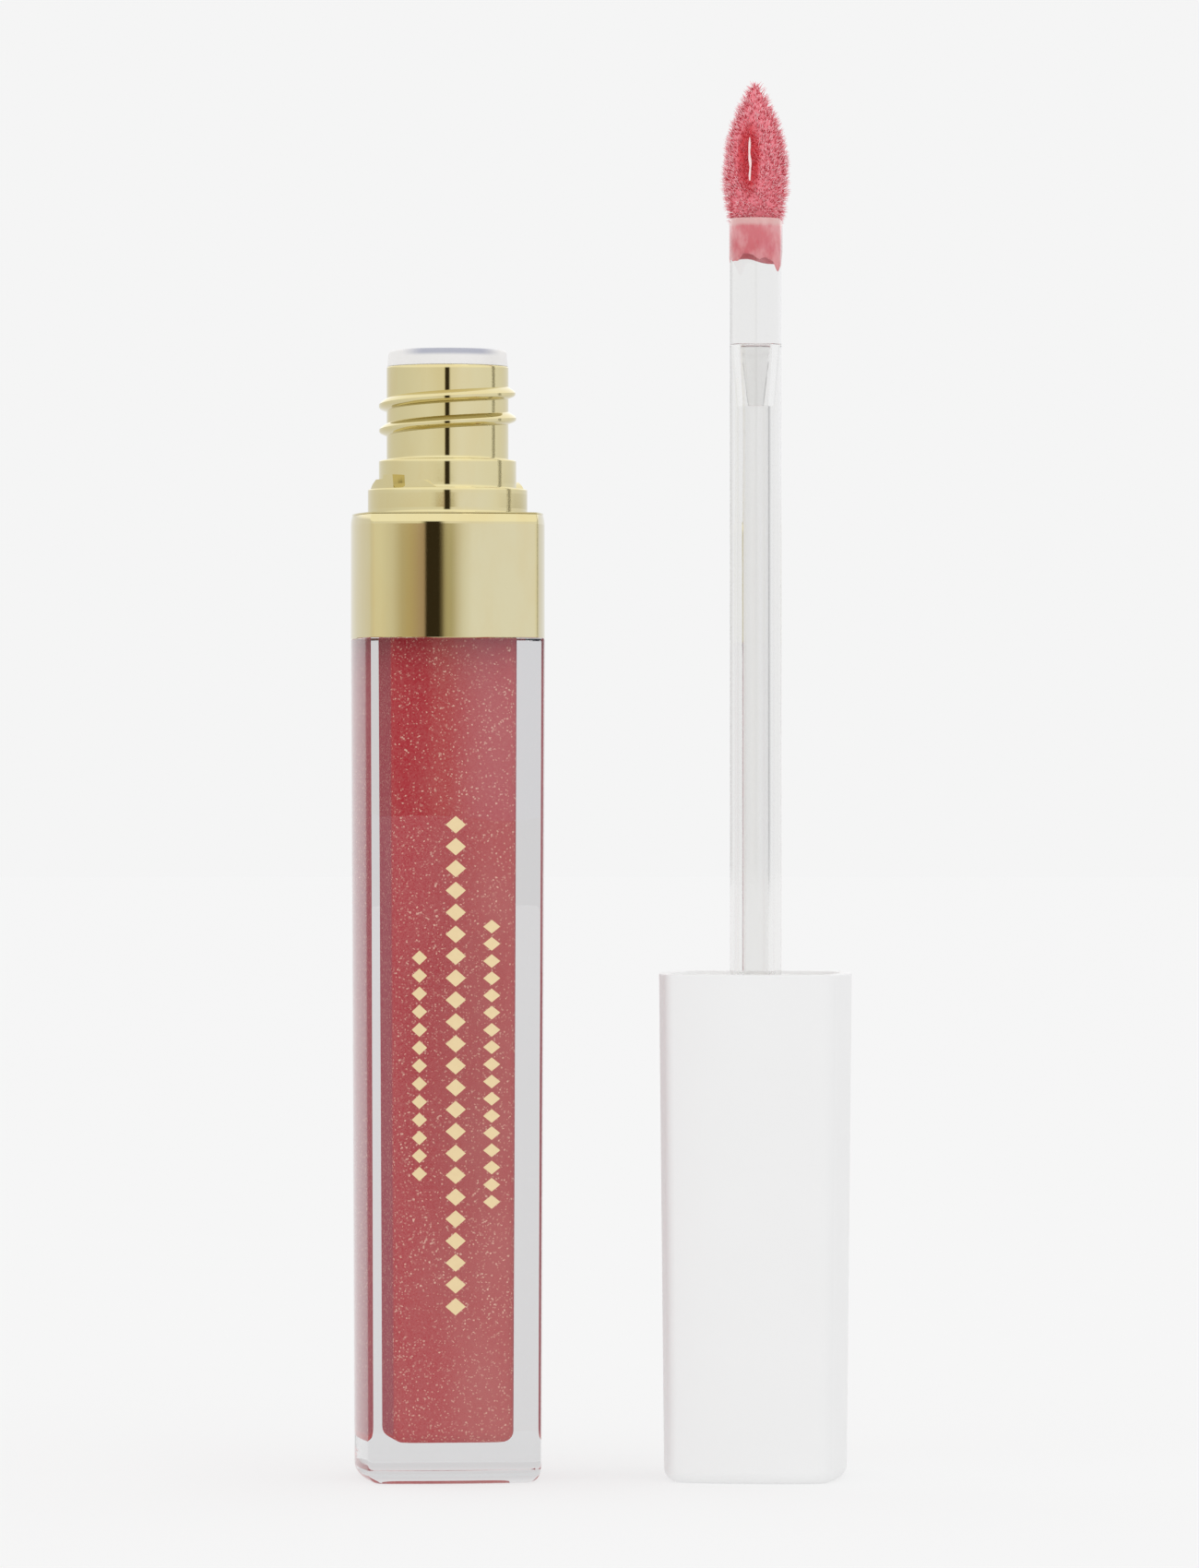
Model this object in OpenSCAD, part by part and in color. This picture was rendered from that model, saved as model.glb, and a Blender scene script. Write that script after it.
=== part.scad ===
// Square lip gloss tube, open: the tube stands upright with its threaded neck bare, and its
// applicator stands beside it on its own cap, tip up. Millimetres, +Z up. The origin is the
// centre of the tube's base, and the tube's front face looks towards -Y.

/* [Bottle] */
// Width across the middles of two opposite faces, under the collar
body_w = 15.2; // [12.5:0.1:18.5]
// Height from the base to the collar's lower edge
body_h = 66.6; // [45:0.1:85]
// How much narrower the bottle is at its base
body_draft = 0.55; // [0:0.05:1]
// Radius of the outward bow of every face
face_bow = 20; // [16:0.5:60]
// Radius of the upright corners
corner_r = 0.6; // [0.3:0.05:1.5]
// Radius round the lower edge
base_edge_r = 1.1; // [0.4:0.1:1.6]
// Wall between the middle of a face and the reservoir
wall_t = 2.65; // [1.6:0.05:3.2]
// Thickness of the floor
floor_t = 3.15; // [1.5:0.05:5]
// Radius of the reservoir's upright corners
reservoir_r = 0.8; // [0.4:0.1:2]
// Radius where the reservoir's walls meet its floor
floor_fillet = 0.9; // [0.3:0.1:1.5]
// How much narrower the reservoir is at its floor
reservoir_draft = 0.55; // [0:0.05:1]
// Wall of the spigot that the collar is pressed on to
spigot_wall = 0.85; // [0.6:0.05:1.2]
// Height of the spigot
spigot_h = 8.2; // [5:0.1:12]

/* [Gloss] */
// How far the gloss reaches above the collar's lower edge
gloss_over = 1.6; // [0.5:0.1:4]

/* [Collar and neck] */
// Height of the square collar
collar_h = 9.9; // [8:0.1:16]
// How far the collar stands proud of the bottle
collar_proud = 0.07; // [0:0.01:0.3]
// Height of the lower round step
lower_step_h = 2.0; // [1.5:0.1:3]
// Height of the upper round step
upper_step_h = 2.3; // [1.5:0.1:3]
// Set-back of the upper step from the lower one
upper_set_back = 0.88; // [0.6:0.02:1.2]
// Set-back of the neck from the upper step
neck_set_back = 0.62; // [0.4:0.02:0.9]
// Height of the neck above the steps
neck_h = 7.45; // [6:0.05:12]
// Wall of the neck
neck_wall = 0.95; // [0.7:0.05:1.2]
// Height of the thread's ridge
thread_depth = 0.62; // [0.4:0.02:0.8]
// Rise of the thread in one turn
thread_pitch = 2.0; // [1.6:0.1:2.4]
// Length of the thread, in degrees
thread_turn = 585; // [360:15:720]

/* [Wiper] */
// Height of the flange that sits on the neck
flange_h = 1.3; // [0.8:0.1:2]
// Wall of the wiper's sleeve
wiper_wall = 0.6; // [0.4:0.05:0.9]
// How much smaller than the stem the lip's hole is
lip_squeeze = 0.2; // [0.05:0.05:0.5]

/* [Cap] */
// Height of the cap
cap_h = 40.1; // [30:0.1:60]
// How much narrower the cap is at its closed end
cap_draft = 0.8; // [0:0.05:1.2]
// Wall of the cap
cap_wall = 1.0; // [0.7:0.05:1.4]
// Thickness of the cap's closed end
cap_end_t = 1.4; // [0.8:0.1:3]
// Radius round the cap's closed end
cap_edge_r = 0.9; // [0.3:0.1:1.2]
// Wall of the threaded liner
liner_wall = 0.65; // [0.5:0.05:0.8]

/* [Stem and tip] */
// Diameter of the stem
stem_d = 4.1; // [3.4:0.1:5]
// Diameter of the hole along the stem
stem_bore_d = 2.05; // [1.4:0.05:2.3]
// Depth of the socket that holds the stem
socket_depth = 7; // [4:0.5:9]
// Length of the clear plug between the stem and the flock
ferrule_h = 9.75; // [6:0.25:14]
// Length of the plug's tapered tail
tail_h = 4.9; // [3:0.1:8]
// Length of the flocked tip
tip_h = 11.45; // [8:0.05:15]
// Width of the flocked tip
tip_w = 5.3; // [4.6:0.1:6]
// Depth of the pocket in the tip's front
pocket_depth = 0.5; // [0.2:0.05:0.8]
// Radius of the ball that would fit the pocket
pocket_r = 6; // [4:0.5:10]
// Thickness of the flocked tip, front to back
tip_t = 3.6; // [3.2:0.1:4.5]
// Length of the film of gloss left below the flock
film_h = 3.4; // [1:0.1:6]
// Space left under the tip when the tube is closed
tip_floor_gap = 2.25; // [1:0.05:4]

/* [Foil ornament] */
// Width of the bold middle row
foil_w = 1.6; // [1:0.1:2.4]
// Distance of the outer rows from the middle one
foil_row_gap = 2.85; // [2.4:0.05:3.4]

/* [Placing] */
// Distance between the tube's axis and the applicator's
apart = 24.5; // [22:0.5:40]
// Angle by which the applicator stands in front of the tube's X axis
aside = 6; // [0:1:20]

/* [Hidden] */
// radial gaps of the fits
press_gap = 0.02;
running_gap = 0.03;
cap_clearance = 0.25;
thread_clearance = 0.15;
joint_line = 0.04;
foil_t = 0.04;
film_t = 0.1;
flock_proud = 0.04;
// thickness of the slices that a hull joins
skin = 0.01;
// how deep one shape is let into the next so that they join
embed = 0.2;
face_steps = 8;
corner_steps = 4;
edge_steps = 4;
round_steps = 6;
$fn = 96;

collar_z = body_h;
collar_top = collar_z + collar_h;
upper_step_z = collar_top + lower_step_h;
neck_z = upper_step_z + upper_step_h;
neck_top = neck_z + neck_h;
tube_top = neck_top + flange_h;

reservoir_w = body_w - 2 * wall_t;
spigot_w = reservoir_w + 2 * spigot_wall;
spigot_r = reservoir_r + spigot_wall;

cap_mouth_w = body_w - 2 * cap_wall;
lower_step_r = cap_mouth_w / 2 - cap_clearance;
upper_step_r = lower_step_r - upper_set_back;
neck_r = upper_step_r - neck_set_back;
neck_bore_r = neck_r - neck_wall;
thread_r = neck_r + thread_depth;
thread_lead_in = 2.2;
thread_z = neck_z + thread_lead_in;
thread_from = 150;

stem_r = stem_d / 2;
wiper_r = neck_bore_r - press_gap;
wiper_hole_r = wiper_r - wiper_wall;
lip_r = stem_r - lip_squeeze / 2;
flange_set_back = 0.12;
flange_r = neck_r - flange_set_back;
wiper_foot_gap = 0.6;
wiper_h = neck_h - wiper_foot_gap;

neck_reach = tube_top - collar_top;
step_overlap = 0.85;
liner_recess = lower_step_h + upper_step_h * (1 - step_overlap);
ceiling_z = cap_h - neck_reach - joint_line;
liner_hole_r = thread_r + thread_clearance;
liner_r = liner_hole_r + liner_wall;
liner_floor_t = 1.2;
seat_z = ceiling_z - liner_floor_t;
socket_wall = 1.1;
stem_z = ceiling_z - socket_depth + running_gap;

reach = collar_top - floor_t - tip_floor_gap;
stem_top = cap_h + reach - tip_h - ferrule_h;
plug_z = stem_top + joint_line;
tip_z = stem_top + ferrule_h;
tail_spread = 0.21;
tail_r = stem_bore_d / 2 + tail_spread;
tail_end_r = 0.6 * stem_bore_d / 2;

// ---- outlines ----

function arc(x, y, r, from, to, steps) =
    [for (i = [0:steps]) let (a = from + (to - from) * i / steps) [x + r * cos(a), y + r * sin(a)]];

function turned(points, a) =
    [for (p = points) [p[0] * cos(a) - p[1] * sin(a), p[0] * sin(a) + p[1] * cos(a)]];

// One quarter of a square whose sides bow outwards: half a corner arc each side of a bowed face
function bowed_quarter(w, bow, r) =
    let (lean = acos((bow - w / 2) / (bow - r) / sqrt(2)) - 45,
         corner = (bow - r) * sin(lean))
    concat(arc(w / 2 - bow, 0, bow, -lean, lean, face_steps),
           [for (i = [1:corner_steps - 1])
               let (a = lean + (90 - 2 * lean) * i / corner_steps)
               [corner + r * cos(a), corner + r * sin(a)]]);

function bowed_square(w, bow, r) =
    [for (k = [0:3]) each turned(bowed_quarter(w, bow, r), 90 * k)];

function rounded_square(w, r) =
    [for (k = [0:3]) each turned(arc(w / 2 - r, w / 2 - r, r, 0, 90, round_steps), 90 * k)];

// The same with true arcs
module round_square(w, r) {
    inner = w - 2 * r;
    square([w, inner], center = true);
    square([inner, w], center = true);
    for (x = [-1, 1], y = [-1, 1])
        translate([x * inner / 2, y * inner / 2]) circle(r);
}

module slice(z, w, bow, r) {
    translate([0, 0, z]) linear_extrude(skin) polygon(bowed_square(w, bow, r));
}

// A bowed square block that stands on a rounded edge and widens towards its top
module drafted_block(low_w, high_w, h, edge_r, grow = 0) {
    hull() {
        for (i = [0:edge_steps]) {
            a = 90 * i / edge_steps;
            w = low_w + 2 * grow - 2 * edge_r * (1 - sin(a));
            slice(edge_r * (1 - cos(a)) - grow, w, face_bow, corner_r);
        }
        slice(h - skin + grow, high_w + 2 * grow, face_bow, corner_r);
    }
}

// ---- shapes built ring by ring ----

// Faces turned inside out, for rings that run the other way round
function flipped(faces) = [for (f = faces) [for (j = [len(f) - 1:-1:0]) f[j]]];

// The sides and the two ends of a solid whose points are rings of n points each
function ring_faces(rings, n) =
    concat([for (i = [0:rings - 2], j = [0:n - 1])
               [i * n + j, (i + 1) * n + j, (i + 1) * n + (j + 1) % n, i * n + (j + 1) % n]],
           [[for (j = [0:n - 1]) j]],
           [[for (j = [n - 1:-1:0]) (rings - 1) * n + j]]);

// The space inside the bottle, or the gloss in it when it is drawn smaller all round
module reservoir(top, shrink = 0) {
    rise = top - floor_t - shrink;
    floor_w = reservoir_w - 2 * shrink - reservoir_draft;
    top_w = floor_w + reservoir_draft * rise / (collar_z + spigot_h - floor_t);
    levels = [for (i = [0:edge_steps]) let (a = 90 * i / edge_steps)
                 [floor_fillet * (1 - cos(a)), floor_w - 2 * floor_fillet * (1 - sin(a))],
              [rise, top_w]];
    points = [for (level = levels, p = rounded_square(level[1], reservoir_r))
                 [p[0], p[1], floor_t + shrink + level[0]]];
    polyhedron(points, ring_faces(len(levels), 4 * (round_steps + 1)));
}

// A ridge that winds round the axis. profile lists [out from the root, up], and the ends
// fade into the wall. A negative height makes the ridge stand inwards.
module ridge(root_r, out, profile, turn, pitch) {
    step = 9;
    rings = floor(turn / step) + 1;
    fade = 30;
    n = len(profile);
    points = [for (i = [0:rings - 1], p = profile)
        let (a = turn * i / (rings - 1),
             full = min(1, a / fade, (turn - a) / fade),
             r = root_r + out * (p[0] > 0 ? p[0] * full - embed * (1 - full) : p[0]))
        [r * cos(a), r * sin(a), p[1] + pitch * a / 360]];
    faces = ring_faces(rings, n);
    polyhedron(points, out > 0 ? flipped(faces) : faces);
}

// A low wall on a round ledge whose top follows heights given as [angle, height]
module cam(inner_r, outer_r, heights) {
    points = [for (h = heights)
        each [[inner_r * cos(h[0]), inner_r * sin(h[0]), -embed],
              [outer_r * cos(h[0]), outer_r * sin(h[0]), -embed],
              [outer_r * cos(h[0]), outer_r * sin(h[0]), h[1]],
              [inner_r * cos(h[0]), inner_r * sin(h[0]), h[1]]]];
    polyhedron(points, flipped(ring_faces(len(heights), 4)));
}

// ---- tube ----

module bottle() {
    color([0.93, 0.93, 0.94, 0.4])
        difference() {
            union() {
                drafted_block(body_w - body_draft, body_w, body_h, base_edge_r);
                translate([0, 0, body_h - embed])
                    linear_extrude(spigot_h + embed) round_square(spigot_w, spigot_r);
            }
            reservoir(collar_z + spigot_h + embed);
        }
}

// The click stop: a block that the cap's lug passes over, with a ramp each side
module click_stop() {
    inner = upper_step_r - embed;
    outer = lower_step_r - 0.1;
    ramp = [[-172, 0.02], [-160, 0.7], [-150, 0.7], [-149, 1.05], [-139, 1.05], [-138, 0.02]];
    cam(inner, outer, ramp);
    cam(inner, outer, [[-129, 0.02], [-122, 0.6], [-112, 0.6], [-104, 0.02]]);
}

module collar_neck() {
    chamfer = 0.12;
    color([0.85, 0.75, 0.48])
        difference() {
            union() {
                translate([0, 0, collar_z]) linear_extrude(collar_h)
                    polygon(bowed_square(body_w + 2 * collar_proud, face_bow, corner_r));
                rotate_extrude()
                    polygon([[0, collar_top - embed],
                             [lower_step_r, collar_top - embed],
                             [lower_step_r, upper_step_z - chamfer],
                             [lower_step_r - chamfer, upper_step_z],
                             [upper_step_r, upper_step_z],
                             [upper_step_r, neck_z - chamfer],
                             [upper_step_r - chamfer, neck_z],
                             [neck_r, neck_z],
                             [neck_r, neck_top - chamfer],
                             [neck_r - chamfer, neck_top],
                             [0, neck_top]]);
                translate([0, 0, thread_z]) rotate([0, 0, thread_from])
                    ridge(neck_r, thread_depth,
                          [[-0.3, -0.5], [1, -0.12], [1, 0.12], [-0.3, 0.68]],
                          thread_turn, thread_pitch);
                for (side = [0, 180])
                    translate([0, 0, upper_step_z]) rotate([0, 0, side]) click_stop();
            }
            translate([0, 0, collar_z - embed])
                linear_extrude(spigot_h + embed + press_gap)
                    round_square(spigot_w + 2 * press_gap, spigot_r + press_gap);
            translate([0, 0, collar_z]) cylinder(neck_top - collar_z + embed, r = neck_bore_r);
        }
}

module wiper() {
    base = neck_top - wiper_h;
    funnel = 2.4;
    dish = 0.45;
    color([0.9, 0.92, 0.96, 0.7])
        rotate_extrude()
            polygon([[lip_r, base],
                     [lip_r + 0.35, base],
                     [wiper_r - 0.5, base + funnel - 0.9],
                     [wiper_r, base + funnel - 0.4],
                     [wiper_r, neck_top],
                     [flange_r + 0.07, neck_top],
                     [flange_r - 0.05, tube_top - 0.15],
                     [flange_r - 0.2, tube_top],
                     [wiper_hole_r + 0.75, tube_top],
                     [wiper_hole_r, tube_top - dish],
                     [wiper_hole_r, base + funnel],
                     [lip_r, base + 0.35]]);
}

module gloss_fill() {
    color([0.78, 0.36, 0.4]) reservoir(collar_z + gloss_over, press_gap);
}

// A row of lozenges up the front face: outline seen from the front
module foil_row(x, low, high, w, count) {
    pitch = (high - low) / count;
    for (i = [0:count - 1])
        translate([x, low + pitch * (i + 0.5)])
            polygon([[-w / 2, 0], [0, -0.4 * pitch], [w / 2, 0], [0, 0.4 * pitch]]);
}

module foil_print() {
    middle = 0.555 * body_h;
    color([0.87, 0.78, 0.55])
        difference() {
            intersection() {
                rotate([90, 0, 0])
                    linear_extrude(body_w) {
                        foil_row(-foil_row_gap, middle - 13.2, middle + 5.2, 0.75 * foil_w, 13);
                        foil_row(0, middle - 23.8, middle + 15.8, foil_w, 23);
                        foil_row(foil_row_gap, middle - 15.4, middle + 7.6, 0.85 * foil_w, 17);
                    }
                drafted_block(body_w - body_draft, body_w, body_h, base_edge_r, foil_t);
            }
            drafted_block(body_w - body_draft, body_w, body_h, base_edge_r);
        }
}

// ---- applicator, drawn standing on its cap with its axis on Z ----

module stand_beside() {
    translate([apart * cos(-aside), apart * sin(-aside), 0]) rotate([0, 0, -2 * aside]) children();
}

module cap_hollow() {
    hull() {
        slice(cap_end_t, body_w - cap_draft - 2 * cap_wall, face_bow - cap_wall, corner_r);
        slice(cap_h, cap_mouth_w, face_bow - cap_wall, corner_r);
    }
}

// Four ribs run up the corners of the cap, and the liner stands on them
module cap_ribs() {
    rib_t = 0.8;
    rib_reach = 1.6;
    rib_z = cap_end_t - embed;
    difference() {
        intersection() {
            for (a = [45, 135])
                rotate([0, 0, a]) translate([-body_w, -rib_t / 2, rib_z])
                    cube([2 * body_w, rib_t, seat_z - rib_z]);
            drafted_block(body_w - cap_draft, body_w, cap_h, cap_edge_r, -cap_wall / 2);
        }
        cylinder(cap_h, r = liner_r - rib_reach);
    }
}

module outer_cap() {
    color([0.96, 0.96, 0.96])
        stand_beside() {
            difference() {
                drafted_block(body_w - cap_draft, body_w, cap_h, cap_edge_r);
                cap_hollow();
            }
            cap_ribs();
        }
}

module inner_cap() {
    socket_r = stem_r + socket_wall;
    color([0.95, 0.95, 0.94])
        stand_beside()
            difference() {
                union() {
                    difference() {
                        translate([0, 0, seat_z]) cylinder(cap_h - liner_recess - seat_z, r = liner_r);
                        translate([0, 0, ceiling_z]) cylinder(cap_h, r = liner_hole_r);
                    }
                    translate([0, 0, stem_z - 1]) cylinder(ceiling_z - stem_z + 1, r = socket_r);
                    translate([0, 0, ceiling_z + 3]) rotate([0, 0, 40])
                        ridge(liner_hole_r, -thread_depth * 0.75,
                              [[-0.4, -0.5], [1, -0.12], [1, 0.12], [-0.4, 0.5]],
                              450, thread_pitch);
                }
                translate([0, 0, stem_z - running_gap]) cylinder(cap_h, r = stem_r + running_gap);
            }
}

module stem() {
    color([0.95, 0.95, 0.96, 0.4])
        stand_beside()
            difference() {
                translate([0, 0, stem_z]) cylinder(stem_top - stem_z, r = stem_r);
                translate([0, 0, stem_z + 2]) cylinder(stem_top - stem_z, r = stem_bore_d / 2);
                translate([0, 0, stem_top - tail_h])
                    cylinder(tail_h + skin, r1 = stem_bore_d / 2, r2 = tail_r + 0.1);
            }
}

// The thin blade of the plug that the flock is bonded to
module blade(grow = 0) {
    hull() {
        translate([0, 0, tip_z - embed]) cylinder(0.5, r = 1.5 + grow);
        translate([0, 0, tip_z + 0.62 * tip_h]) rotate([90, 0, 0])
            cylinder(0.9 + 2 * grow, r = 1.1 + grow, center = true, $fn = 32);
    }
}

module tip_core() {
    color([0.95, 0.95, 0.96, 0.5])
        stand_beside() {
            translate([0, 0, plug_z]) cylinder(tip_z - plug_z, r = stem_r);
            translate([0, 0, plug_z - tail_h]) cylinder(tail_h + skin, r1 = tail_end_r, r2 = tail_r);
            blade();
        }
}

// Half the width of the leaf at a share of its length, over its greatest half width. Its root
// is as wide as the stem.
leaf_bend = 0.72;
leaf_swell = 0.8;
root_share = min(0.98, (stem_r + flock_proud) / (tip_w / 2));
leaf_root = pow(asin(pow(root_share, 1 / leaf_swell)) / 180, 1 / leaf_bend);
function leaf(u) = pow(sin(180 * pow(leaf_root + (1 - leaf_root) * u, leaf_bend)), leaf_swell);

module flocked_tip() {
    rings = 22;
    sides = 24;
    levels = [for (i = [0:rings]) let (u = i / rings) 0.985 * (1 - pow(1 - u, 1.35))];
    points = [for (u = levels, j = [0:sides - 1])
        let (a = 360 * j / sides)
        [tip_w / 2 * leaf(u) * cos(a), tip_t / 2 * leaf(u) * sin(a), tip_z + skin + tip_h * u]];
    color([0.84, 0.42, 0.5])
        stand_beside()
            difference() {
                polyhedron(points, ring_faces(rings + 1, sides));
                blade(skin);
                translate([0, pocket_depth - tip_t / 2 - pocket_r, tip_z + 0.42 * tip_h])
                    sphere(pocket_r, $fn = 200);
            }
}

module gloss_film() {
    color([0.8, 0.4, 0.45])
        stand_beside()
            translate([0, 0, tip_z - film_h])
                difference() {
                    cylinder(film_h - press_gap, r = stem_r + film_t);
                    translate([0, 0, -embed]) cylinder(film_h + 2 * embed, r = stem_r + press_gap / 2);
                }
}

bottle();
collar_neck();
wiper();
gloss_fill();
foil_print();
outer_cap();
inner_cap();
stem();
tip_core();
flocked_tip();
gloss_film();
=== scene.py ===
from math import acos, atan2, ceil, cos, pi, radians, sin, sqrt
from random import Random

import bmesh
import bpy
from mathutils import Matrix, Vector


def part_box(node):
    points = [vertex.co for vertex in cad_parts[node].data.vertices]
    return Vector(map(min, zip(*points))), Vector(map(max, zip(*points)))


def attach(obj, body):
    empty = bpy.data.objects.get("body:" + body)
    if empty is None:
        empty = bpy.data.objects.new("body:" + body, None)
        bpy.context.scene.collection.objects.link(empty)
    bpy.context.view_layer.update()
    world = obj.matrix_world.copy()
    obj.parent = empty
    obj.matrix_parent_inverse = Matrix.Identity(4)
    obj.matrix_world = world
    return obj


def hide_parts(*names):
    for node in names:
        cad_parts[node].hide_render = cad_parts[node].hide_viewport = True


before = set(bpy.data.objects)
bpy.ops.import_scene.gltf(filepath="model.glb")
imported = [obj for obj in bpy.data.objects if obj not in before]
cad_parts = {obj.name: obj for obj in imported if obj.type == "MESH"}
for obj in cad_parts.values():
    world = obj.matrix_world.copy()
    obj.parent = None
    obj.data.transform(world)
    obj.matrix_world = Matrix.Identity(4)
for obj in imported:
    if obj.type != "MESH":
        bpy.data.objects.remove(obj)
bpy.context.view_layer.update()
print("frame loaded:", len(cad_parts), "CAD nodes")

mm = 0.001


def boxMm(node):
    low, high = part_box(node)
    return low / mm, high / mm


bottleHigh = boxMm("bottle")[1]
collarLow, collarHigh = boxMm("collar_neck")
wiperLow, wiperHigh = boxMm("wiper")
glossLow, glossHigh = boxMm("gloss_fill")
capHigh = boxMm("outer_cap")[1]
linerLow, linerHigh = boxMm("inner_cap")
stemLow, stemHigh = boxMm("stem")
plugLow, plugHigh = boxMm("tip_core")
tipLow, tipHigh = boxMm("flocked_tip")
filmLow, filmHigh = boxMm("gloss_film")

# The applicator stands beside the tube, turned by twice the angle that it stands round to the front
applicatorX = (stemLow.x + stemHigh.x) / 2
applicatorY = (stemLow.y + stemHigh.y) / 2
aside = atan2(applicatorY, applicatorX)
atTube = Matrix.Identity(4)
atApplicator = Matrix.Translation((applicatorX, applicatorY, 0)) @ Matrix.Rotation(2 * aside, 4, "Z")

# The camera looks level from the front, a little from the left: azimuth in degrees, distance in metres,
# lens and sensor in millimetres, and the point it aims at in millimetres to the right and up
view = {"azimuth": -6, "distance": 0.62, "lens": 179, "sensor": 36, "nearest": 0.01, "toRight": 12.08,
        "height": 55.1}

yaw = radians(-view["azimuth"])
forward = Vector((sin(yaw), cos(yaw), 0))
toRight = Vector((cos(yaw), -sin(yaw), 0))
target = toRight * view["toRight"] * mm + Vector((0, 0, view["height"] * mm))
cameraData = bpy.data.cameras.new("camera")
cameraData.lens = view["lens"]
cameraData.sensor_width = view["sensor"]
cameraData.clip_start = view["nearest"]
camera = bpy.data.objects.new("camera", cameraData)
camera.location = target - forward * view["distance"]
camera.rotation_euler = (pi / 2, 0, -yaw)
bpy.context.scene.collection.objects.link(camera)
bpy.context.scene.camera = camera
bpy.context.scene.view_settings.view_transform = "Standard"
print("camera placed")


class Wire:
    # an output socket, so that shader maths reads as plain sums
    def __init__(self, look, socket):
        self.look = look
        self.socket = socket

    def __add__(self, other):
        return self.look.maths("ADD", self, other)

    def __radd__(self, other):
        return self.look.maths("ADD", other, self)

    def __sub__(self, other):
        return self.look.maths("SUBTRACT", self, other)

    def __rsub__(self, other):
        return self.look.maths("SUBTRACT", other, self)

    def __mul__(self, other):
        return self.look.maths("MULTIPLY", self, other)

    def __rmul__(self, other):
        return self.look.maths("MULTIPLY", other, self)

    def __truediv__(self, other):
        return self.look.maths("DIVIDE", self, other)

    def __rtruediv__(self, other):
        return self.look.maths("DIVIDE", other, self)

    def __pow__(self, other):
        return self.look.maths("POWER", self, other)

    def __neg__(self):
        return self.look.maths("MULTIPLY", self, -1)


class Look:
    # one node tree, of a material or of the world
    def __init__(self, name, owner=None):
        self.owner = owner or bpy.data.materials.new(name)
        self.owner.use_nodes = True
        self.tree = self.owner.node_tree
        self.tree.nodes.clear()

    def put(self, socket, value):
        if isinstance(value, Wire):
            self.tree.links.new(value.socket, socket)
        elif isinstance(value, (tuple, list)) and len(socket.default_value) == 4:
            socket.default_value = (*value[:3], 1)
        else:
            socket.default_value = value

    def node(self, kind, settings=None, sockets=None, output=0):
        made = self.tree.nodes.new("ShaderNode" + kind)
        for name, value in (settings or {}).items():
            if name == "stops":
                ramp = made.color_ramp
                while len(ramp.elements) < len(value):
                    ramp.elements.new(1)
                for element, (place, colour) in zip(ramp.elements, value):
                    element.position = place
                    element.color = (*colour, 1) if isinstance(colour, tuple) else (colour,) * 3 + (1,)
            else:
                setattr(made, name, value)
        for name, value in (sockets or {}).items():
            self.put(made.inputs[name], value)
        return Wire(self, made.outputs[output])

    def maths(self, operation, *values, clamp=False):
        return self.node("Math", {"operation": operation, "use_clamp": clamp}, dict(enumerate(values)))

    def mix(self, share, first, second):
        return self.node("Mix", {"data_type": "RGBA"}, {0: share, 6: first, 7: second}, 2)

    def smooth(self, value, low, high):
        # 0 at low and 1 at high, whichever is the larger
        ends = {"Value": value, "From Min": low, "From Max": high, "To Min": 0.0, "To Max": 1.0}
        return self.node("MapRange", {"interpolation_type": "SMOOTHSTEP"}, ends)

    def place(self):
        # Object coordinates in millimetres
        spot = self.node("TexCoord", output="Object")
        return self.node("VectorMath", {"operation": "SCALE"}, {0: spot, "Scale": 1 / mm})

    def stretched(self, vector, scale):
        return self.node("VectorMath", {"operation": "MULTIPLY"}, {0: vector, 1: scale})

    def split(self, vector):
        return [self.node("SeparateXYZ", {}, {0: vector}, output=axis) for axis in range(3)]

    def noise(self, vector, scale, detail=3.0, rough=0.55):
        sockets = {"Vector": vector, "Scale": scale, "Detail": detail, "Roughness": rough}
        return self.node("TexNoise", {}, sockets)

    def bump(self, height, strength, distance):
        return self.node("Bump", {}, {"Height": height, "Strength": strength, "Distance": distance})

    def principled(self, **sockets):
        named = {name.replace("_", " "): value for name, value in sockets.items()}
        return self.node("BsdfPrincipled", {}, named)

    def lampsPass(self, shader, tint):
        # rays on their way to a lamp go straight through the clear plastic
        path = self.node("LightPath", output="Is Shadow Ray")
        spread = Wire(self, path.socket.node.outputs["Is Diffuse Ray"])
        clear = self.node("BsdfTransparent", {}, {"Color": tuple(sqrt(channel) for channel in tint)})
        return self.node("MixShader", {}, {0: self.maths("MAXIMUM", path, spread), 1: shader, 2: clear})

    def surface(self, shader):
        self.finish("OutputMaterial", shader)
        return self.owner

    def finish(self, kind, shader):
        made = self.tree.nodes.new("ShaderNode" + kind)
        self.put(made.inputs["Surface"], shader)


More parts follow.
